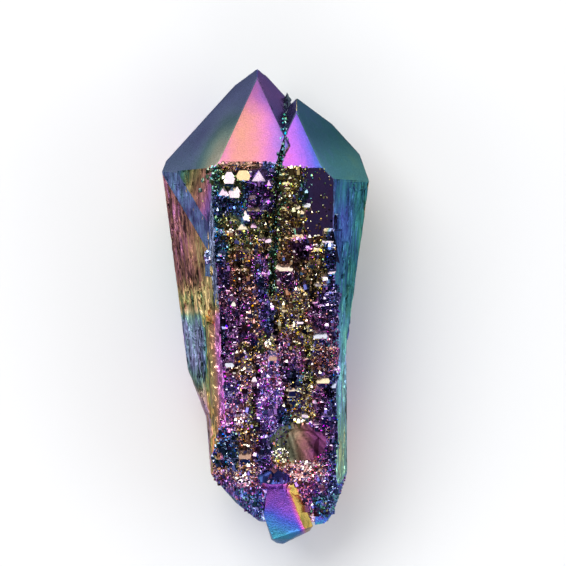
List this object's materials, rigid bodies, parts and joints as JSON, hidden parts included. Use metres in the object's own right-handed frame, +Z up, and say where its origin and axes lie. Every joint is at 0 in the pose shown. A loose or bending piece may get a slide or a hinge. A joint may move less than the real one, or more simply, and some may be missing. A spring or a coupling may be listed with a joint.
{
  "type": "aura quartz crystal",
  "caption": "Twinned quartz point lying on a flat prism face, with smooth slanting tips, a stepped sparkling front and a broken root, coated in a rainbow metal film.",
  "frame": {"origin": "centre of the bounding box's bottom face, on the surface the crystal lies on", "axes": "+Y runs along the crystal to its tips, +X to the side with the smaller crystal, +Z up out of the stepped front"},
  "size_m": [0.0194, 0.0446, 0.0148],
  "materials": {
    "aura_quartz": "quartz under a very thin metal film with rainbow interference colours, glossy on the faces and glittering on the stepped front"
  },
  "bodies": {
    "root": {"crystal": "aura_quartz"}
  },
  "joints": []
}
